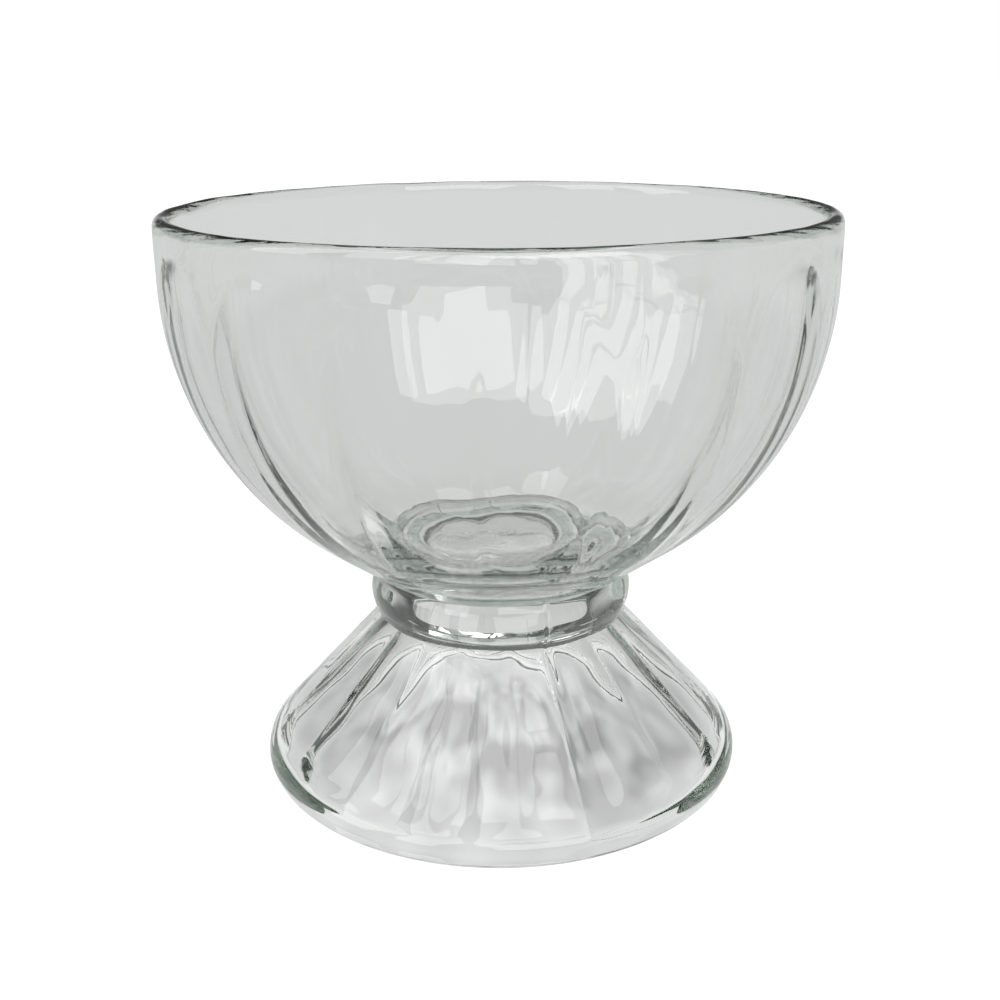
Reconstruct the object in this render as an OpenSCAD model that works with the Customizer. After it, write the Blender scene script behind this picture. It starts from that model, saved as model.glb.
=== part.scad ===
// Parfait glass of clear pressed glass: a wide bowl, fluted inside, on a hollow fluted foot,
// with a rounded collar between them. The origin is the middle of the ring that it stands on,
// +Z is up and -Y is the front.

/* [Bowl] */
// Diameter of the rim
rim_d = 112.8; // [102:0.2:124]
// Height of the whole glass
glass_h = 100; // [92:0.5:110]
// Thickness of the glass at the rim
rim_t = 3; // [2:0.1:4]
// Drop from the rim to where the outside starts to curve in
curve_drop = 10.5; // [6:0.5:14]
// Slope of the straight outside under the bowl, in degrees
under_slope = 36.3; // [32:0.1:40]
// How much thicker the wall is low down than at the rim
base_gain = 2; // [0:0.1:4]
// Thickness of the glass from the collar's top to the bowl's floor
floor_t = 5; // [3:0.1:8]

/* [Flutes] */
// Number of flutes round the bowl, and round the foot
flutes = 16; // [10:1:24]
// Turn of the bowl's first ridge from the front, in degrees
ridge_turn = -5; // [-11:0.5:11]
// Turn of the foot's first ridge from the front, in degrees
foot_ridge_turn = 4; // [-11:0.5:11]
// Radius of a flute in the bowl, across its width
flute_r = 24; // [20:0.5:26]
// Depth of a flute in the bowl, halfway down the wall
flute_depth = 1.6; // [0.8:0.1:2]
// How much tighter a flute bends on its way down than the wall does
flute_tighter = 3; // [2:0.1:5]
// Width of the narrow land between two flutes
ridge_w = 0.3; // [0.2:0.05:0.6]
// Drop from the rim to the arched top of a flute
arch_drop = 5; // [3:0.5:8]
// Depth of a flute in the foot, at the base ring
foot_flute_depth = 1; // [0.5:0.1:1.2]
// Half angle of the cone that shapes a flute in the foot, in degrees
foot_flute_a = 19; // [16:0.5:21]

/* [Collar] */
// Diameter of the collar
collar_d = 47.4; // [44:0.2:52]
// Height of the collar
collar_h = 8.2; // [7:0.1:10]
// How far the collar swells past its edges
collar_swell = 1.1; // [0.4:0.1:1.6]
// Diameter of the hollow inside the collar
bore_d = 31; // [26:0.2:34]
// Radius of the rounded edge of the hollow's roof
roof_r = 4.7; // [2:0.1:5.5]
// Thickness of the collar over the hollow
roof_t = 1; // [0.6:0.1:2]

/* [Foot] */
// Diameter of the foot at its lip
foot_d = 87.4; // [80:0.2:96]
// Height of the foot, up to the collar
foot_h = 28.7; // [25:0.1:33]
// Step in from the collar's edge to the top of the foot
neck_step = 1.4; // [0.5:0.1:3]
// Thickness of the foot's wall
foot_t = 3.2; // [2.4:0.1:4]
// Radius of the foot's rounded lip
lip_r = 3.2; // [2.8:0.1:4]
// Height of the lip's widest point
lip_h = 2.6; // [1.6:0.1:2.7]
// Distance from the lip's widest point in to the inside of the base ring
ring_w = 3.3; // [3.2:0.1:5]

/* [Hidden] */
$fn = 128;
glass_colour = [0.84, 0.88, 0.86, 0.7];
// Overrun of a cut past the face that it opens
cut = 1;
// Angle below level at which flute_depth is measured on the wall
depth_a = 45;
// Distance from the axis at which a flute's slice starts, inside every wall
slice_start = 10;

rim_r = rim_d / 2;
rim_in_r = rim_r - rim_t;
collar_r = collar_d / 2;
seat_r = collar_r - collar_swell;
bore_r = bore_d / 2;
neck_r = seat_r - neck_step;
ring_r = foot_d / 2 - ring_w;
collar_top = foot_h + collar_h;
roof_z = collar_top - roof_t;
floor_z = collar_top + floor_t;
flute_pitch = 360 / flutes;
// Directions of the middle of the first flute in the bowl and in the foot, from +X
first_flute = ridge_turn + flute_pitch / 2 - 90;
first_foot_flute = foot_ridge_turn + flute_pitch / 2 - 90;

// The bowl's outside: upright at the rim, one round curve, then straight down to the collar
seat = [seat_r, collar_top];
curve_z = glass_h - curve_drop;
curve_rise = (curve_z - collar_top) * cos(under_slope);
curve_run = (rim_r - seat_r) * sin(under_slope);
curve_r = (curve_rise - curve_run) / (1 - sin(under_slope));
curve_mid = [rim_r - curve_r, curve_z];
curve_end = on_circle(curve_mid, curve_r, under_slope - 90);

// The bowl's inside: the same curve, thinner by the wall and raised to thicken the base
hollow_r = curve_r - rim_t;
hollow_mid = [curve_mid.x, curve_z + base_gain];

// A flute's path is a circle under the arch's top and the flute's deepest point
path_r = hollow_r - flute_tighter;
arch_top = [rim_in_r, glass_h - arch_drop];
deepest = on_circle(hollow_mid, hollow_r + flute_depth, -depth_a);
path_mid = middle_of_circle(arch_top, deepest, path_r);

// The foot's outside runs straight from the neck and touches the round of the lip
neck = [neck_r, foot_h];
lip_mid = [foot_d / 2 - lip_r, lip_h];
lip_a = direction(lip_mid, neck) - acos(lip_r / norm(neck - lip_mid));
lip_touch = on_circle(lip_mid, lip_r, lip_a);

// The hollow of the foot is a cone, whose half angle is lip_a and whose tip is at tip_z
tip_z = foot_h + (neck_r * cos(lip_a) - foot_t) / sin(lip_a);
// Tilt of a flute's own cone, which has the same tip and cuts deeper towards the base ring
foot_flute_sink = atan(foot_flute_depth * sin(lip_a) / ring_r);
foot_flute_tilt = lip_a + foot_flute_sink - foot_flute_a;

function on_circle(mid, r, a) = mid + r * [cos(a), sin(a)];
function direction(from, to) = atan2(to.y - from.y, to.x - from.x);
function cone_z(r) = tip_z - r / tan(lip_a);

// Middle of the circle of radius r through p and q, on the side of the axis
function middle_of_circle(p, q, r) =
    let (half = (p - q) / 2, back = sqrt(r * r - half * half))
    (p + q) / 2 - back * [half.y, -half.x] / norm(half);

// A strip of the section plane, from the axis out to r, between two heights
module strip(r, low, high) {
    translate([0, low]) square([r, high - low]);
}

module bowl_outside() {
    intersection() {
        translate(curve_mid) circle(curve_r);
        strip(rim_r, curve_end.y, curve_z);
    }
    strip(rim_r, curve_z, glass_h - rim_t / 2);
    translate([rim_r - rim_t / 2, glass_h - rim_t / 2]) circle(rim_t / 2);
    polygon([[0, collar_top], seat, curve_end, [0, curve_end.y]]);
}

module bowl_inside() {
    intersection() {
        translate(hollow_mid) circle(hollow_r);
        strip(rim_in_r, floor_z, hollow_mid.y);
    }
    strip(rim_in_r, hollow_mid.y, glass_h + cut);
}

// The slice of the glass that one flute may cut: as wide as the pitch less the land
module flute_slice(reach, low, high) {
    near = slice_start * tan(flute_pitch / 2) - ridge_w / 2;
    far = reach * tan(flute_pitch / 2) - ridge_w / 2;
    translate([0, 0, low])
        linear_extrude(high - low)
            polygon([[slice_start, -near], [reach, -far], [reach, far], [slice_start, near]]);
}

// One flute of the bowl: a bent round bar, which stops at the floor
module bowl_flute() {
    intersection() {
        translate([path_mid.x, 0, path_mid.y])
            rotate([90, 0, 0])
                rotate_extrude()
                    intersection() {
                        translate([path_r - flute_r, 0]) circle(flute_r);
                        translate([0, -flute_r]) square([path_r, 2 * flute_r]);
                    }
        flute_slice(rim_r + cut, floor_z, glass_h);
    }
}

module bowl() {
    color(glass_colour)
        difference() {
            rotate_extrude()
                difference() {
                    bowl_outside();
                    bowl_inside();
                }
            for (i = [0 : flutes - 1])
                rotate(first_flute + i * flute_pitch) bowl_flute();
        }
}

// The hollow under the glass, from the table up to the roof inside the collar
module foot_inside() {
    polygon([
        [0, -cut],
        [ring_r, -cut],
        [ring_r, cone_z(ring_r)],
        [bore_r, cone_z(bore_r)],
        [0, cone_z(bore_r)],
    ]);
    strip(bore_r, 0, roof_z - roof_r);
    strip(bore_r - roof_r, 0, roof_z);
    translate([bore_r - roof_r, roof_z - roof_r]) circle(roof_r);
}

// One flute of the foot: part of a cone, which stops at the base ring
module foot_flute() {
    start = bore_r * cos(foot_flute_a);
    end = ring_r / sin(lip_a);
    intersection() {
        translate([0, 0, tip_z])
            rotate([0, 180 - foot_flute_tilt, 0])
                translate([0, 0, start])
                    cylinder(h = end - start, r1 = start * tan(foot_flute_a), r2 = end * tan(foot_flute_a));
        flute_slice(ring_r * cos(flute_pitch / 2), 0, roof_z);
    }
}

module foot_flutes() {
    for (i = [0 : flutes - 1])
        rotate(first_foot_flute + i * flute_pitch) foot_flute();
}

module collar() {
    swell_r = (pow(collar_h / 2, 2) + pow(collar_swell, 2)) / (2 * collar_swell);
    color(glass_colour)
        difference() {
            rotate_extrude()
                difference() {
                    union() {
                        strip(seat_r, foot_h, collar_top);
                        intersection() {
                            translate([collar_r - swell_r, foot_h + collar_h / 2]) circle(swell_r);
                            strip(collar_r, foot_h, collar_top);
                        }
                    }
                    foot_inside();
                }
            foot_flutes();
        }
}

module foot() {
    color(glass_colour)
        difference() {
            rotate_extrude()
                difference() {
                    union() {
                        polygon([[0, 0], [lip_mid.x, 0], lip_mid, lip_touch, neck, [0, foot_h]]);
                        intersection() {
                            translate(lip_mid) circle(lip_r);
                            strip(foot_d / 2, 0, foot_h);
                        }
                    }
                    foot_inside();
                }
            foot_flutes();
        }
}

bowl();
collar();
foot();
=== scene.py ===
"""Dresses the parfait glass: one piece of clear pressed glass round the CAD frame, on a pale
studio floor. Everything is in metres, in the frame of the CAD. An angle round the glass counts
from its front, -Y, towards +X."""
import math

import bmesh
import bpy
import numpy as np
from bpy.props import FloatProperty, FloatVectorProperty, IntProperty, PointerProperty
from mathutils import Matrix, Vector


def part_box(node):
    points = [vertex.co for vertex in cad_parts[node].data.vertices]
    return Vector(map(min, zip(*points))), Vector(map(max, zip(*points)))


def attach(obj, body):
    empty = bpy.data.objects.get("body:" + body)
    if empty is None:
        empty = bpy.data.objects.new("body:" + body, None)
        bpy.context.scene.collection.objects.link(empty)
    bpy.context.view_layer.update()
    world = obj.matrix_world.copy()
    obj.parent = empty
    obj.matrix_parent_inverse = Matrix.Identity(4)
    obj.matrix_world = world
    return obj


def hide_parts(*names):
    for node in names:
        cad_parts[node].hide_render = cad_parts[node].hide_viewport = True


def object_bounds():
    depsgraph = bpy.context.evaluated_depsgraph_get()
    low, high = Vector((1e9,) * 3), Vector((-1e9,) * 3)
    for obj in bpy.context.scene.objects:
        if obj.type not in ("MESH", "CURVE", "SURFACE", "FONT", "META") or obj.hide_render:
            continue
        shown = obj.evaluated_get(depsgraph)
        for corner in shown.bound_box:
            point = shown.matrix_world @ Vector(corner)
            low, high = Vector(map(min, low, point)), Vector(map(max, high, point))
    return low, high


bl_info = {
    "name": "Parfait Glass",
    "version": (1, 0, 0),
    "blender": (4, 5, 0),
    "location": "View3D > Sidebar > Parfait",
    "description": "Makes a fluted parfait glass and the pale studio that it stands in",
    "category": "Object",
}

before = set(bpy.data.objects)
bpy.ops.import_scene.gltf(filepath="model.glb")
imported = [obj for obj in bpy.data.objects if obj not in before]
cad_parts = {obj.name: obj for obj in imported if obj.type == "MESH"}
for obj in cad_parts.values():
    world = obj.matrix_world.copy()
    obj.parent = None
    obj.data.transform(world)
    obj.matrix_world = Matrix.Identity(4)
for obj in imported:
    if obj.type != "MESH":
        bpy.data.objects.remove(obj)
CAD_BOX = [list(corner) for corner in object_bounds()]
COLLAR_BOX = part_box("collar")
FOOT_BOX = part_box("foot")

# Length of a mesh step along the section, the fewest steps in an arc, and the steps of its rounds
SECTION_STEP = 0.0011
FEWEST_STEPS = 6
RIM_STEPS = 14
SWELL_STEPS = 16
LIP_STEPS = 22
CORNER_STEPS = 8
# The shortest length that counts, between two points or out from the axis
SHORTEST = 1e-6
# Radius of the inner edge of the base ring
RING_EDGE_ROUND = 0.0006
# Closest to the axis that the bend of the bowl's wall round it is worked out
NEAR_AXIS = 0.001
# Where a foot flute starts, in radii of the bore, and how far out from there it is fully deep
FOOT_FLUTE_START = 1.05
FOOT_FLUTE_FADE = 0.005
# How far inside the upright wall over the base ring a foot flute ends
RING_MARGIN = 0.00002

# Turns of the mesh's columns across a mould seam, and the gap between them and the next column
SEAM_COLUMNS = np.radians([-1.2, -0.8, -0.4, 0, 0.4, 0.8, 1.2])
SEAM_GAP = math.radians(0.25)
# How strongly a surface carries the mould seam, which the others don't have
SEAM_WEIGHT = {"collar": 1, "foot": 0.8, "outside": 0.15}
# How strongly a surface carries the slow waves, which have a weight of 1 on the others
WAVE_WEIGHT = {"under": 9, "foot": 5, "lip": 3, "collar": 7, "rim": 3}
# Below this height there are no waves, so the glass stands on a flat ring
FLAT_HEIGHT = 0.0008
# The noise of the slow waves that leaves the surface in place
WAVE_MIDDLE = 0.3
# The surfaces below the bowl, where the flutes are turned from the bowl's
LOW_SURFACES = {"collar", "foot", "lip", "under"}
# What each point of the blank keeps for the press: the way into the glass, a flute's depth and
# rise, and the weights and turn from above
MARKS = {
    "into": "FLOAT_VECTOR",
    "depth": "FLOAT",
    "rise": "FLOAT",
    "wave": "FLOAT",
    "phase": "FLOAT",
    "seam": "FLOAT",
}
SMOOTH_EDGE = math.radians(35)

# The fire polish: ripples in a metre, their height and strength, dull patches in a metre, the
# noise up to which a patch stays clear, and how fast it gets dull above that
RIPPLE_SCALE = 180.0
RIPPLE_HEIGHT = 0.0002
RIPPLE_STRENGTH = 0.08
PATCH_SCALE = 60.0
CLEAR_UP_TO = 0.55
DULLING = 0.06

WHITE = (1, 1, 1, 1)
# The faint green-grey of the room that the glass shows
PALE = (0.992, 1, 0.996, 1)
# The room: patches in its walls, how much they differ, and the height where it is fully dark,
# as the sine of the elevation
WALL_PATCH_SCALE = 4.0
WALL_CONTRAST = 0.12
DARK_FROM = 0.15
# The floor: half its side, how far it lies under the glass, the grey that takes the soft shadow,
# and the glow that makes it white to the camera
FLOOR_HALF = 4
FLOOR_DROP = 0.0002
FLOOR_GREY = (0.16, 0.16, 0.16, 1)
FLOOR_GLOW = 0.97
# How far the shade under the glass reaches over the floor, its patches in a metre, how much longer
# they are from front to back than across, how much they differ, and the shade between them
SHADE_REACH = 0.036
SHADE_PATCH_SCALE = 60.0
SHADE_PATCH_LENGTH = 1.8
SHADE_CONTRAST = 4
SHADE_MIDDLE = 0.75
# The middle of a noise pattern
NOISE_MIDDLE = 0.5
# The ring of light that the lip throws on the floor: its radius and width
LIGHT_RING_RADIUS = 0.05
LIGHT_RING_WIDTH = 0.01
# Each window panel: name, turn from the front and elevation in degrees, width and height. All
# stand at one distance from the point that they face, on the glass's axis
WINDOWS = (
    ("window_far_left", -71, 36, 0.5, 1.36),
    ("window_left", -38, 36, 0.42, 1.36),
    ("window_right", 19, 39.5, 0.9, 1.02),
)
WINDOW_DISTANCE = 1.2
WINDOW_AIM_HEIGHT = 0.06
# The camera's film, in millimetres, and the nearest place that it shows
SENSOR_WIDTH = 36
CLIP_START = 0.01
# Light runs a long way inside the wall of a glass before it comes out
LIGHT_BOUNCES = 32

# Outputs of the Texture Coordinate node
GENERATED, OBJECT = 0, 3


def length(name, description, default):
    return FloatProperty(
        name=name, description=description, default=default, unit="LENGTH", precision=5
    )


def angle(name, description, degrees):
    return FloatProperty(
        name=name, description=description, default=math.radians(degrees), unit="ROTATION"
    )


class BowlSizes(bpy.types.PropertyGroup):
    height: length("Height", "Height of the whole glass", CAD_BOX[1][2])
    rim_radius: length("Rim radius", "Outside radius at the rim", CAD_BOX[1][0])
    wall: length("Wall", "Thickness of the glass at the rim", 0.003)
    curve_drop: length("Curve drop", "Drop from the rim to where the outside curves in", 0.0105)
    curve_radius: length("Curve radius", "Radius of the outside's curve", 0.05494)
    under_slope: angle("Under slope", "Slope of the straight outside under the bowl", 36.8)
    base_gain: length("Base gain", "How far the inside's curve is raised", 0.002)
    floor_height: length("Floor height", "Height of the flat floor in the bowl", 0.0419)


class FluteSizes(bpy.types.PropertyGroup):
    count: IntProperty(name="Flutes", description="Number of flutes", default=16, min=3, max=48)
    first_ridge: angle("First ridge", "Turn of the bowl's first ridge from the front", -5)
    foot_turn: angle("Foot turn", "Turn of the foot's ridges from the bowl's", 9)
    radius: length("Radius", "Radius of a flute in the bowl, across its width", 0.024)
    path_radius: length("Path radius", "Radius of a flute's path down the bowl", 0.049)
    path_out: length("Path middle out", "Distance of the path's middle from the axis", 0.00484)
    path_up: length("Path middle up", "Height of the path's middle", 0.08844)
    arch_step: length("Arch step", "How steeply a flute starts under the rim", 0.00012)
    floor_fade: length("Floor fade", "Height over which a flute runs out at the floor", 0.0045)
    foot_depth: length("Foot depth", "Depth of a flute in the foot, near the base ring", 0.001)
    foot_run_out: FloatProperty(
        name="Foot run-out", description="How steeply a foot flute ends", default=0.4
    )
    ridge_round: FloatProperty(
        name="Ridge round",
        description="Rounding of a ridge, as a share of half a flute",
        default=0.1,
    )
    steps: IntProperty(name="Steps", description="Mesh steps across a flute", default=20, min=8)


class CollarSizes(bpy.types.PropertyGroup):
    top: length("Top", "Height of the collar's top", COLLAR_BOX[1][2])
    bottom: length("Bottom", "Height of the collar's bottom", COLLAR_BOX[0][2])
    radius: length("Radius", "Greatest radius of the collar", COLLAR_BOX[1][0])
    swell: length("Swell", "How far the collar swells past its edges", 0.0011)
    bore_radius: length("Bore radius", "Radius of the hollow inside the collar", 0.0158)
    roof_height: length("Roof height", "Height of the hollow's roof", 0.0359)
    roof_round: length("Roof round", "Radius of the rounded edge of the roof", 0.0064)


class FootSizes(bpy.types.PropertyGroup):
    radius: length("Radius", "Radius of the foot at its lip", FOOT_BOX[1][0])
    neck_step: length("Neck step", "Step in from the collar's edge", 0.0014)
    wall: length("Wall", "Thickness of the foot's wall", 0.0032)
    lip_radius: length("Lip radius", "Radius of the rounded lip", 0.0032)
    lip_height: length("Lip height", "Height of the lip's widest point", 0.0026)
    ring_radius: length("Ring radius", "Inside radius of the flat base ring", 0.0401)
    ring_round: length("Ring round", "Radius of the corner over the base ring", 0.002)
    throat_round: length("Throat round", "Radius where the hollow meets the bore", 0.004)
    throat_height: length("Throat height", "Height where the hollow meets the bore", 0.0288)


class GlassLook(bpy.types.PropertyGroup):
    ior: FloatProperty(name="IOR", description="How strongly the glass bends light", default=1.51)
    tint: FloatVectorProperty(
        name="Tint",
        description="Colour left in light that crosses the glass",
        default=(0.80, 0.827, 0.804),
        subtype="COLOR",
        min=0,
        max=1,
    )
    density: FloatProperty(
        name="Density", description="Strength of the tint, per metre", default=62
    )
    waviness: length("Waviness", "Height of the slow waves in the surface", 0.00012)
    wave_scale: FloatProperty(name="Wave scale", description="Waves in a metre", default=70)
    seam_turn: angle("Seam turn", "Turn of the mould seam from the front", 19.5)
    seam_height: length("Seam height", "How far the mould seam stands out", 0.0002)
    seam_width: length("Seam width", "Half width of the mould seam", 0.00035)


class StudioLook(bpy.types.PropertyGroup):
    surround: FloatProperty(
        name="Surround",
        description="Grey of the floor that the glass shows, and of the light on the floor",
        default=0.70,
    )
    under: FloatProperty(
        name="Under", description="Grey of the floor's shade under the glass", default=0.36
    )
    light_ring: FloatProperty(
        name="Light ring", description="Ring of light round the foot", default=0.97
    )
    walls: FloatProperty(name="Walls", description="Pale grey of the walls", default=0.71)
    overhead: FloatProperty(name="Overhead", description="Darker grey overhead", default=0.11)
    window_strength: FloatProperty(
        name="Window strength", description="Brightness of the window panels", default=2.6
    )
    camera_back: length("Camera back", "Distance of the camera in front of the axis", 0.2182)
    camera_height: length("Camera height", "Height of the camera over the floor", 0.12045)
    camera_pitch: angle("Camera pitch", "How far the camera looks down", 18.33)
    camera_roll: angle("Camera roll", "How far the camera leans", -0.33)
    lens: FloatProperty(
        name="Lens",
        description="Focal length, in millimetres",
        default=45.965,
        subtype="DISTANCE_CAMERA",
    )


class ParfaitSettings(bpy.types.PropertyGroup):
    bowl: PointerProperty(type=BowlSizes)
    flutes: PointerProperty(type=FluteSizes)
    collar: PointerProperty(type=CollarSizes)
    foot: PointerProperty(type=FootSizes)
    glass: PointerProperty(type=GlassLook)
    studio: PointerProperty(type=StudioLook)


class Value:
    """A socket in a node tree. Its operators add the Math nodes that work them out."""

    def __init__(self, tree, socket):
        self.tree = tree
        self.socket = socket

    def math(self, operation, *others):
        return self.tree.node("ShaderNodeMath", {"operation": operation}, [self, *others])[0]

    def __add__(self, other):
        return self.math("ADD", other)

    def __sub__(self, other):
        return self.math("SUBTRACT", other)

    def __rsub__(self, other):
        return (self * -1) + other

    def __mul__(self, other):
        return self.math("MULTIPLY", other)

    def __truediv__(self, other):
        return self.math("DIVIDE", other)

    __radd__ = __add__
    __rmul__ = __mul__

    def bell(self):
        """1 where the value is 0, and softly down to 0 on both sides."""
        return (self * self * -1).math("EXPONENT")


class Nodes:
    """Adds nodes to a tree. node() takes a node's type, its settings, and the values or links of
    its sockets by place or by name, and returns its outputs as Values."""

    def __init__(self, tree):
        self.tree = tree

    def node(self, kind, settings=None, sockets=None):
        made = self.tree.nodes.new(kind)
        for name, value in (settings or {}).items():
            setattr(made, name, value)
        entries = sockets.items() if isinstance(sockets, dict) else enumerate(sockets or [])
        for key, value in entries:
            if isinstance(value, Value):
                self.tree.links.new(value.socket, made.inputs[key])
            else:
                made.inputs[key].default_value = value
        return [Value(self, output) for output in made.outputs]

    def mark(self, name):
        """One of the marks that the blank's points keep."""
        settings = {"data_type": MARKS[name]}
        return self.node("GeometryNodeInputNamedAttribute", settings, {"Name": name})[0]

    def noise(self, place, scale, detail):
        """Soft noise from 0 to 1, with scale patches in each unit of place."""
        sockets = {"Vector": place, "Scale": scale, "Detail": detail}
        return self.node("ShaderNodeTexNoise", None, sockets)[0]

    def light(self, kind, color, strength):
        """A Background or an Emission node, by its kind."""
        return self.node(kind, None, {"Color": color, "Strength": strength})[0]

    def blend(self, share, first, second):
        """The first shader where the share is 0, and the second where it is 1."""
        return self.node("ShaderNodeMixShader", None, [share, first, second])[0]


def arc(middle, radius, start, end, steps=None):
    steps = steps or max(FEWEST_STEPS, int(abs(end - start) * radius / SECTION_STEP) + 1)
    turn = np.linspace(start, end, steps)
    return np.c_[middle[0] + radius * np.cos(turn), middle[1] + radius * np.sin(turn)]


def straight(start, end):
    start, end = np.array(start, float), np.array(end, float)
    steps = max(2, int(np.linalg.norm(end - start) / SECTION_STEP) + 1)
    return start + (end - start) * np.linspace(0, 1, steps)[:, None]


def rounded(corners, radii):
    """A run of straight lines through corners, with each inner corner rounded to its radius."""
    corners = [np.array(corner, float) for corner in corners]
    runs, here = [], corners[0]
    for corner, before, after, radius in zip(corners[1:-1], corners, corners[2:], radii):
        back = (before - corner) / np.linalg.norm(before - corner)
        on = (after - corner) / np.linalg.norm(after - corner)
        half = math.acos(np.clip(back @ on, -1, 1)) / 2
        setback = radius / math.tan(half)
        middle = corner + (back + on) / np.linalg.norm(back + on) * radius / math.sin(half)
        first, last = corner + back * setback, corner + on * setback
        start = math.atan2(*(first - middle)[::-1])
        turn = math.remainder(math.atan2(*(last - middle)[::-1]) - start, math.tau)
        runs += [straight(here, first), arc(middle, radius, start, start + turn, CORNER_STEPS)]
        here = last
    return np.vstack(runs + [straight(here, corners[-1])])


def bowl_section(bowl, collar):
    """The section of the bowl, from the middle of its floor over the rim and down its outside.
    Each run of points comes with the name of the surface that it shapes."""
    round_mid = (bowl.rim_radius - bowl.curve_radius, bowl.height - bowl.curve_drop)
    hollow = bowl.curve_radius - bowl.wall
    hollow_mid = (round_mid[0], round_mid[1] + bowl.base_gain)
    hollow_top = (hollow_mid[0] + hollow, hollow_mid[1])
    floor_turn = math.asin((hollow_mid[1] - bowl.floor_height) / hollow)
    floor_edge = (hollow_mid[0] + hollow * math.cos(floor_turn), bowl.floor_height)
    bead = (bowl.rim_radius - bowl.wall / 2, bowl.height - bowl.wall / 2)
    curve_turn = math.pi / 2 - bowl.under_slope
    outside = arc(round_mid, bowl.curve_radius, 0, -curve_turn)
    seat = (collar.radius - collar.swell, collar.top)
    return [
        ("inside", straight((0, bowl.floor_height), floor_edge)),
        ("inside", arc(hollow_mid, hollow, -floor_turn, 0)),
        ("inside", straight(hollow_top, (bead[0] - bowl.wall / 2, bead[1]))),
        ("rim", arc(bead, bowl.wall / 2, math.pi, 0, RIM_STEPS)),
        ("outside", straight((bowl.rim_radius, bead[1]), (bowl.rim_radius, round_mid[1]))),
        ("outside", outside),
        ("outside", straight(outside[-1], seat)),
    ]


def foot_section(collar, foot):
    """The section of the collar and the foot, down the outside and up inside the hollow."""
    half = (collar.top - collar.bottom) / 2
    swell_radius = (half**2 + collar.swell**2) / (2 * collar.swell)
    swell_mid = (collar.radius - swell_radius, collar.bottom + half)
    swell_turn = math.asin(half / swell_radius)
    neck = (collar.radius - collar.swell - foot.neck_step, collar.bottom)
    lip = (foot.radius - foot.lip_radius, foot.lip_height)
    across, up = neck[0] - lip[0], neck[1] - lip[1]
    slope = math.atan2(up, across) - math.acos(foot.lip_radius / math.hypot(across, up))
    out = np.array([math.cos(slope), math.sin(slope)])
    touch = np.array(lip) + foot.lip_radius * out
    under = touch - foot.wall * out
    # The wall is as thick as foot.wall at the ring's corner, and thickens from there to the throat
    corner_height = under[1] - (foot.ring_radius - under[0]) / math.tan(slope)
    lip_end = math.asin(foot.lip_height / foot.lip_radius)
    ring_edge = lip[0] + foot.lip_radius * math.cos(lip_end)
    hollow = [
        (ring_edge, 0),
        (foot.ring_radius, 0),
        (foot.ring_radius, corner_height),
        (collar.bore_radius, foot.throat_height),
        (collar.bore_radius, collar.roof_height),
        (0, collar.roof_height),
    ]
    radii = [RING_EDGE_ROUND, foot.ring_round, foot.throat_round, collar.roof_round]
    return [
        ("collar", arc(swell_mid, swell_radius, swell_turn, -swell_turn, SWELL_STEPS)),
        ("foot", straight(neck, touch)),
        ("lip", arc(lip, foot.lip_radius, slope, -lip_end, LIP_STEPS)),
        ("under", rounded(hollow, radii)),
    ]


def whole_section(settings):
    """The section of the glass as one run of points, from the bowl's floor to the hollow's roof,
    with the surface that each point belongs to and the way into the glass there."""
    bowl, collar, foot = settings.bowl, settings.collar, settings.foot
    points, surfaces = [], []
    for surface, run in bowl_section(bowl, collar) + foot_section(collar, foot):
        for point in run:
            if points and np.linalg.norm(point - points[-1]) < SHORTEST:
                continue
            points.append(point)
            surfaces.append(surface)
    points = np.array(points)
    along = np.gradient(points, axis=0)
    along /= np.linalg.norm(along, axis=1)[:, None]
    return points, surfaces, np.c_[along[:, 1], -along[:, 0]]


def flute_rule(surface, across, up, into, settings):
    """How deep a flute is at its middle, and how far its floor has risen at the ridges."""
    bowl, flutes, collar, foot = settings.bowl, settings.flutes, settings.collar, settings.foot
    if surface == "inside":
        # The flute lies as deep as its path passes behind the wall, and bends tighter than the wall
        half_width = across * math.sin(math.pi / flutes.count)
        reach = math.hypot(across - flutes.path_out, up - flutes.path_up)
        fade = np.clip((up - bowl.floor_height) / flutes.floor_fade, 0, 1)
        bend = 1 / flutes.radius - abs(into[0]) / max(across, NEAR_AXIS)
        depth = max(flutes.path_radius - reach, 0)
        depth = math.sqrt(depth * (depth + flutes.arch_step))
        return depth * fade, half_width**2 / 2 * bend * fade
    if surface == "under" and across < foot.ring_radius - RING_MARGIN and up > foot.lip_height:
        # The flute widens and deepens away from the bore, and runs out at the base ring
        depth = flutes.foot_depth * across / foot.ring_radius
        start = (across - collar.bore_radius * FOOT_FLUTE_START) / FOOT_FLUTE_FADE
        start = np.clip(start, 0, 1)
        fade = start**2 * (3 - 2 * start)
        run_out = (foot.ring_radius - across) * flutes.foot_run_out
        return min(run_out, depth) * fade, depth * fade
    return 0, 0


def column_turns(flutes, look):
    """The turn of each column of the mesh: even steps across the flutes, and closer ones across
    the two mould seams, which are half a turn apart."""
    columns = flutes.count * flutes.steps
    turns = flutes.first_ridge + np.arange(columns) * math.tau / columns
    seam, opposite = look.seam_turn, look.seam_turn + math.pi
    seams = np.concatenate([seam + SEAM_COLUMNS, opposite + SEAM_COLUMNS])
    gap = np.abs(np.angle(np.exp(1j * (turns[:, None] - seams[None, :])))).min(axis=1)
    return np.sort(np.concatenate([turns[gap > SEAM_GAP], seams]) % math.tau)


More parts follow.
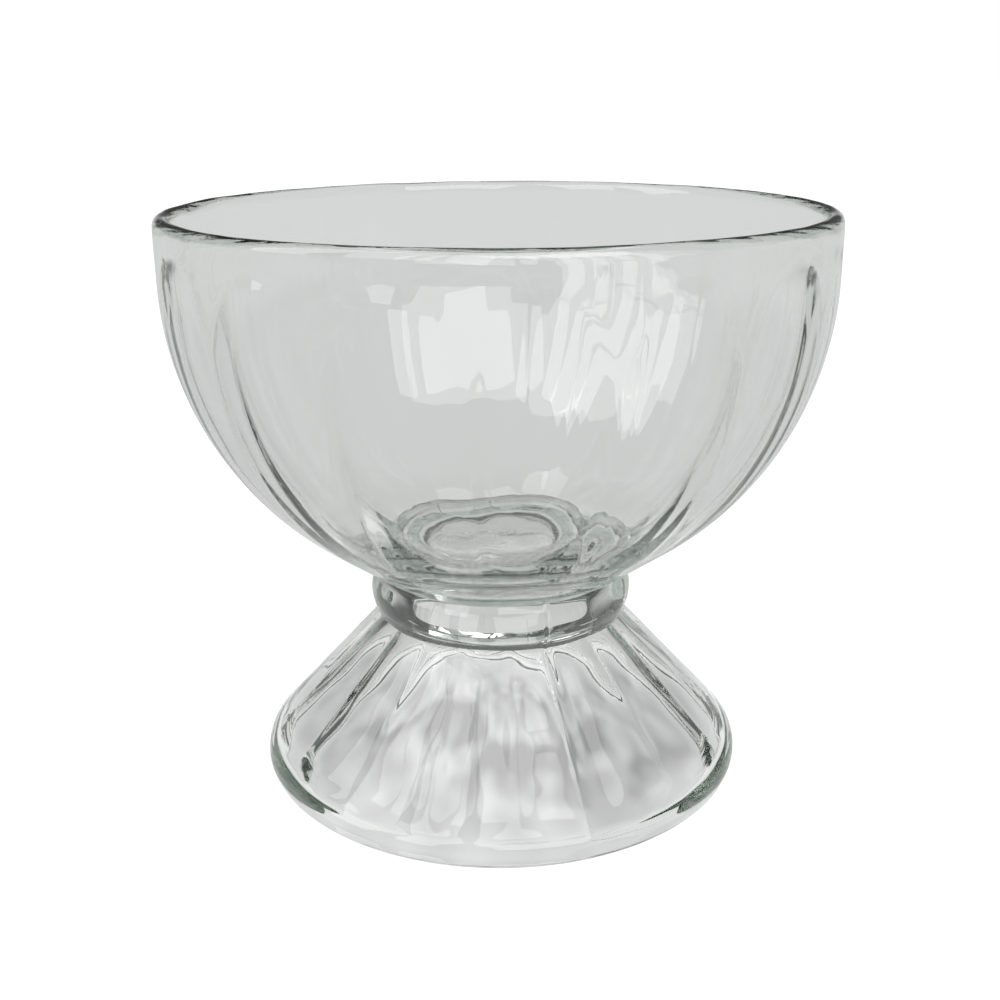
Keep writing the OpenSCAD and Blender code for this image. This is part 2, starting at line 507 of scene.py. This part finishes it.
def turned_faces(rows, columns):
    """Faces between neighbouring rows, and a fan round each of the poles, which follow the rows."""
    faces = []
    for row in range(rows - 1):
        near, far = row * columns, (row + 1) * columns
        for left in range(columns):
            right = (left + 1) % columns
            faces.append((near + left, far + left, far + right, near + right))
    floor_pole, last = rows * columns, (rows - 1) * columns
    for left in range(columns):
        right = (left + 1) % columns
        faces.append((floor_pole, left, right))
        faces.append((floor_pole + 1, last + right, last + left))
    return faces


def turned_blank(settings):
    """The glass turned round its axis without its flutes, as a closed mesh with its marks. The
    section's first and last points lie on the axis and make the poles, and each other a row."""
    points, surfaces, into = whole_section(settings)
    turns = column_turns(settings.flutes, settings.glass)
    foot_turn = settings.flutes.foot_turn
    columns = len(turns)
    rows = range(1, len(points) - 1)
    rules = [flute_rule(surfaces[i], *points[i], into[i], settings) for i in rows]
    waves = [WAVE_WEIGHT.get(surfaces[i], 1) for i in rows]
    marks = {
        "into": [(into[i][0], 0, into[i][1]) for i in rows],
        "depth": [depth for depth, _ in rules],
        "rise": [rise for _, rise in rules],
        "wave": [0 if points[i][1] < FLAT_HEIGHT else wave for i, wave in zip(rows, waves)],
        "phase": [foot_turn if surfaces[i] in LOW_SURFACES else 0 for i in rows],
        "seam": [SEAM_WEIGHT.get(surfaces[i], 0) for i in rows],
    }
    ring = np.array([[math.sin(turn), -math.cos(turn)] for turn in turns])
    places = [np.c_[ring * points[i][0], np.full(columns, points[i][1])] for i in rows]
    poles = [[0, 0, points[0][1]], [0, 0, points[-1][1]]]

    blank = bpy.data.meshes.new("pressed_glass")
    blank.from_pydata(np.vstack([*places, poles]).tolist(), [], turned_faces(len(rows), columns))
    for name, kind in MARKS.items():
        each_row = np.repeat(np.array(marks[name], float), columns, axis=0)
        at_poles = np.zeros((len(poles), *each_row.shape[1:]))
        key = "vector" if kind == "FLOAT_VECTOR" else "value"
        attribute = blank.attributes.new(name, kind, "POINT")
        attribute.data.foreach_set(key, np.concatenate([each_row, at_poles]).ravel())
    return blank


def press_tree(flutes, look, material):
    """Geometry nodes that press the flutes into a turned blank, and raise the mould seam."""
    group = bpy.data.node_groups.new("press_flutes", "GeometryNodeTree")
    interface = group.interface
    interface.new_socket("Blank", in_out="INPUT", socket_type="NodeSocketGeometry")
    interface.new_socket("Pressed", in_out="OUTPUT", socket_type="NodeSocketGeometry")
    defaults = {
        "Flutes": ("NodeSocketInt", flutes.count),
        "First ridge": ("NodeSocketFloat", flutes.first_ridge),
        "Ridge round": ("NodeSocketFloat", flutes.ridge_round),
        "Waviness": ("NodeSocketFloat", look.waviness),
        "Wave scale": ("NodeSocketFloat", look.wave_scale),
        "Seam turn": ("NodeSocketFloat", look.seam_turn),
        "Seam height": ("NodeSocketFloat", look.seam_height),
        "Seam width": ("NodeSocketFloat", look.seam_width),
    }
    for name, (kind, value) in defaults.items():
        interface.new_socket(name, in_out="INPUT", socket_type=kind).default_value = value
    nodes = Nodes(group)
    blank, count, ridge, soft, waviness, scale, seam_turn, seam_height, seam_width, _ = nodes.node(
        "NodeGroupInput"
    )
    place = nodes.node("GeometryNodeInputPosition")[0]
    x, y, _ = nodes.node("ShaderNodeSeparateXYZ", None, [place])
    turn = x.math("ARCTAN2", y * -1)
    radius = (x * x + y * y).math("SQRT").math("MAXIMUM", SHORTEST)

    # From -1 at one ridge over 0 in the middle of a flute to 1 at the next
    across = ((turn - ridge - nodes.mark("phase")) * count / math.tau).math("FRACT") * 2 - 1
    to_ridge = 1 - across.math("ABSOLUTE")
    # The same without its sign, and rounded off at the ridge
    across = 1 - (to_ridge * to_ridge + soft * soft).math("SQRT")
    flute = (nodes.mark("depth") - nodes.mark("rise") * across * across).math("MAXIMUM", 0)
    aside = (turn - seam_turn).math("SINE") * radius / seam_width
    seam = aside.bell() * seam_height * nodes.mark("seam")
    wave = (nodes.noise(place, scale, detail=1.0) - WAVE_MIDDLE) * waviness * nodes.mark("wave")
    press = flute - seam + wave

    into_x, _, into_z = nodes.node("ShaderNodeSeparateXYZ", None, [nodes.mark("into")])
    outward = into_x * press / radius
    shift = nodes.node("ShaderNodeCombineXYZ", None, [outward * x, outward * y, into_z * press])[0]
    pressed = nodes.node("GeometryNodeSetPosition", None, {"Geometry": blank, "Offset": shift})[0]
    for name in MARKS:
        used = {"Geometry": pressed, "Name": name}
        pressed = nodes.node("GeometryNodeRemoveAttribute", None, used)[0]
    whole = nodes.node("GeometryNodeRealizeInstances", None, [pressed])[0]
    done = nodes.node("GeometryNodeSetMaterial", None, {"Geometry": whole, "Material": material})[0]
    nodes.node("NodeGroupOutput", None, [done])
    return group


def pressed_mesh(context, blank, tree):
    """The blank as the tree presses it: a plain closed mesh whose faces point outwards."""
    block = bpy.data.objects.new("blank", blank)
    context.scene.collection.objects.link(block)
    block.modifiers.new("press", "NODES").node_group = tree
    context.view_layer.update()
    evaluated = block.evaluated_get(context.evaluated_depsgraph_get())
    mesh = bpy.data.meshes.new_from_object(evaluated)
    bpy.data.objects.remove(block)

    shape = bmesh.new()
    shape.from_mesh(mesh)
    bmesh.ops.recalc_face_normals(shape, faces=shape.faces)
    if shape.calc_volume(signed=True) < 0:
        bmesh.ops.reverse_faces(shape, faces=shape.faces)
    shape.to_mesh(mesh)
    shape.free()
    mesh.shade_smooth()
    mesh.set_sharp_from_angle(angle=SMOOTH_EDGE)
    return mesh


def emptied(owner):
    """The nodes of a material or a world, with none in place yet."""
    owner.use_nodes = True
    owner.node_tree.nodes.clear()
    return Nodes(owner.node_tree)


def clear_glass(look):
    """Clear pressed glass with a faint grey-green tint and slightly uneven fire polish."""
    material = bpy.data.materials.new("clear_pressed_glass")
    nodes = emptied(material)
    place = nodes.node("ShaderNodeTexCoord")[OBJECT]
    ripple = nodes.noise(place, RIPPLE_SCALE, detail=2.0)
    patch = nodes.noise(place, PATCH_SCALE, detail=3.0)
    bump = {"Strength": RIPPLE_STRENGTH, "Distance": RIPPLE_HEIGHT, "Height": ripple}
    surface = {
        "Base Color": WHITE,
        "Roughness": (patch - CLEAR_UP_TO).math("MAXIMUM", 0) * DULLING,
        "IOR": look.ior,
        "Transmission Weight": 1.0,
        "Normal": nodes.node("ShaderNodeBump", None, bump)[0],
    }
    shader = nodes.node("ShaderNodeBsdfPrincipled", None, surface)[0]
    inside = {"Color": (*look.tint, 1), "Density": look.density}
    tint = nodes.node("ShaderNodeVolumeAbsorption", None, inside)[0]
    nodes.node("ShaderNodeOutputMaterial", None, {"Surface": shader, "Volume": tint})
    return material


class PARFAIT_OT_glass(bpy.types.Operator):
    """Press the whole glass: the bowl, the collar and the foot in one piece"""

    bl_idname = "parfait.glass"
    bl_label = "Pressed Glass"

    def execute(self, context):
        settings = context.scene.parfait
        tree = press_tree(settings.flutes, settings.glass, clear_glass(settings.glass))
        mesh = pressed_mesh(context, turned_blank(settings), tree)
        glass = bpy.data.objects.new("pressed_glass", mesh)
        context.scene.collection.objects.link(glass)
        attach(glass, "root")
        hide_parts("bowl", "collar", "foot")
        return {"FINISHED"}


def glass_and_camera_rays(nodes):
    """Masks for the rays that glass reflects or lets through, and for the camera's own."""
    camera, _, _, glossy, _, _, transmission, *_ = nodes.node("ShaderNodeLightPath")
    return glossy.math("MAXIMUM", transmission), camera


def studio_world(studio):
    """White to the camera. The glass shows a pale grey room, slightly uneven and dark overhead."""
    world = bpy.data.worlds.new("studio")
    nodes = emptied(world)

    def light(color, strength):
        return nodes.light("ShaderNodeBackground", color, strength)

    direction = nodes.node("ShaderNodeTexCoord")[GENERATED]
    _, _, up = nodes.node("ShaderNodeSeparateXYZ", None, [direction])
    heights = {"Value": up, "From Min": 0.0, "From Max": DARK_FROM}
    dusk = nodes.node("ShaderNodeMapRange", {"interpolation_type": "SMOOTHSTEP"}, heights)[0]
    patch = nodes.noise(direction, WALL_PATCH_SCALE, detail=2.0)
    dull = light(PALE, studio.walls * (1 - WALL_CONTRAST))
    bright = light(PALE, studio.walls * (1 + WALL_CONTRAST))
    room = nodes.blend(dusk, nodes.blend(patch, dull, bright), light(PALE, studio.overhead))
    through_glass, seen = glass_and_camera_rays(nodes)
    around = nodes.blend(through_glass, light(PALE, studio.surround), room)
    both = nodes.blend(seen, around, light(WHITE, 1.0))
    nodes.node("ShaderNodeOutputWorld", None, {"Surface": both})
    bpy.context.scene.world = world


def studio_floor(studio):
    """White to the camera but for the glass's soft shadow. The glass shows it pale grey, with an
    uneven shade under the glass and a ring of light round the foot."""
    material = bpy.data.materials.new("studio_floor")
    nodes = emptied(material)

    def glow(color, strength):
        return nodes.light("ShaderNodeEmission", color, strength)

    lit = nodes.node("ShaderNodeBsdfDiffuse", None, {"Color": FLOOR_GREY})[0]
    shown = nodes.node("ShaderNodeAddShader", None, [lit, glow(WHITE, FLOOR_GLOW)])[0]
    place = nodes.node("ShaderNodeTexCoord")[OBJECT]
    x, y, _ = nodes.node("ShaderNodeSeparateXYZ", None, [place])
    reach = (x * x + y * y).math("SQRT")
    squeezed = nodes.node("ShaderNodeCombineXYZ", None, [x * SHADE_PATCH_LENGTH, y, 0.0])[0]
    patch = nodes.noise(squeezed, SHADE_PATCH_SCALE, detail=1.0)
    patch = ((patch - NOISE_MIDDLE) * SHADE_CONTRAST + SHADE_MIDDLE).math("MAXIMUM", 0)
    shade = (reach / SHADE_REACH).bell() * patch
    ring = ((reach - LIGHT_RING_RADIUS) / LIGHT_RING_WIDTH).bell()
    shaded = nodes.blend(shade, glow(PALE, studio.surround), glow(PALE, studio.under))
    grey = nodes.blend(ring, shaded, glow(PALE, studio.light_ring))
    through_glass, seen = glass_and_camera_rays(nodes)
    both = nodes.blend(seen, nodes.blend(through_glass, lit, grey), shown)
    nodes.node("ShaderNodeOutputMaterial", None, {"Surface": both})

    mesh = bpy.data.meshes.new("studio_floor")
    sides = [(-1, -1), (1, -1), (1, 1), (-1, 1)]
    corners = [(x * FLOOR_HALF, y * FLOOR_HALF, -FLOOR_DROP) for x, y in sides]
    mesh.from_pydata(corners, [], [(0, 1, 2, 3)])
    mesh.materials.append(material)
    floor = bpy.data.objects.new("studio_floor", mesh)
    bpy.context.scene.collection.objects.link(floor)


def studio_windows(strength):
    """Window panels that face the glass. A panel's energy goes with its size, so all of them are
    equally bright."""
    aim = Vector((0, 0, WINDOW_AIM_HEIGHT))
    for name, turn, elevation, width, height in WINDOWS:
        turn, elevation = math.radians(turn), math.radians(elevation)
        level = math.cos(elevation)
        toward = Vector((math.sin(turn) * level, -math.cos(turn) * level, math.sin(elevation)))
        lamp = bpy.data.lights.new(name, "AREA")
        lamp.shape = "RECTANGLE"
        lamp.size, lamp.size_y = width, height
        lamp.energy = strength * math.pi * width * height
        window = bpy.data.objects.new(name, lamp)
        window.location = aim + toward * WINDOW_DISTANCE
        window.rotation_euler = (-toward).to_track_quat("-Z", "Y").to_euler()
        bpy.context.scene.collection.objects.link(window)


def studio_camera(studio):
    """A camera close in front of the glass, which looks down on it."""
    data = bpy.data.cameras.new("camera")
    data.sensor_width = SENSOR_WIDTH
    data.lens = studio.lens
    data.clip_start = CLIP_START
    camera = bpy.data.objects.new("camera", data)
    place = Matrix.Translation((0, -studio.camera_back, studio.camera_height))
    tilt = Matrix.Rotation(math.pi / 2 - studio.camera_pitch, 4, "X")
    camera.matrix_world = place @ tilt @ Matrix.Rotation(studio.camera_roll, 4, "Z")
    bpy.context.scene.collection.objects.link(camera)
    bpy.context.scene.camera = camera


class PARFAIT_OT_studio(bpy.types.Operator):
    """Set up the pale floor, the soft light and the camera"""

    bl_idname = "parfait.studio"
    bl_label = "Studio"

    def execute(self, context):
        studio = context.scene.parfait.studio
        studio_world(studio)
        studio_floor(studio)
        studio_windows(studio.window_strength)
        studio_camera(studio)
        context.scene.view_settings.view_transform = "Standard"
        for kind in ("max", "glossy", "transmission"):
            setattr(context.scene.cycles, kind + "_bounces", LIGHT_BOUNCES)
        return {"FINISHED"}


class PARFAIT_PT_sidebar(bpy.types.Panel):
    bl_idname = "PARFAIT_PT_sidebar"
    bl_label = "Parfait Glass"
    bl_space_type = "VIEW_3D"
    bl_region_type = "UI"
    bl_category = "Parfait"

    def draw(self, context):
        for operator in OPERATORS:
            self.layout.operator(operator.bl_idname)
        settings = context.scene.parfait
        for group in ParfaitSettings.__annotations__:
            box = self.layout.box()
            box.label(text=group.capitalize())
            chosen = getattr(settings, group)
            for name in chosen.__annotations__:
                box.prop(chosen, name)


GROUPS = (BowlSizes, FluteSizes, CollarSizes, FootSizes, GlassLook, StudioLook, ParfaitSettings)
OPERATORS = (PARFAIT_OT_glass, PARFAIT_OT_studio)
CLASSES = GROUPS + OPERATORS + (PARFAIT_PT_sidebar,)


def register():
    for made in CLASSES:
        bpy.utils.register_class(made)
    bpy.types.Scene.parfait = PointerProperty(type=ParfaitSettings)


def unregister():
    del bpy.types.Scene.parfait
    for made in reversed(CLASSES):
        bpy.utils.unregister_class(made)


def main():
    register()
    bpy.ops.parfait.glass()
    bpy.ops.parfait.studio()


if __name__ == "__main__":
    main()
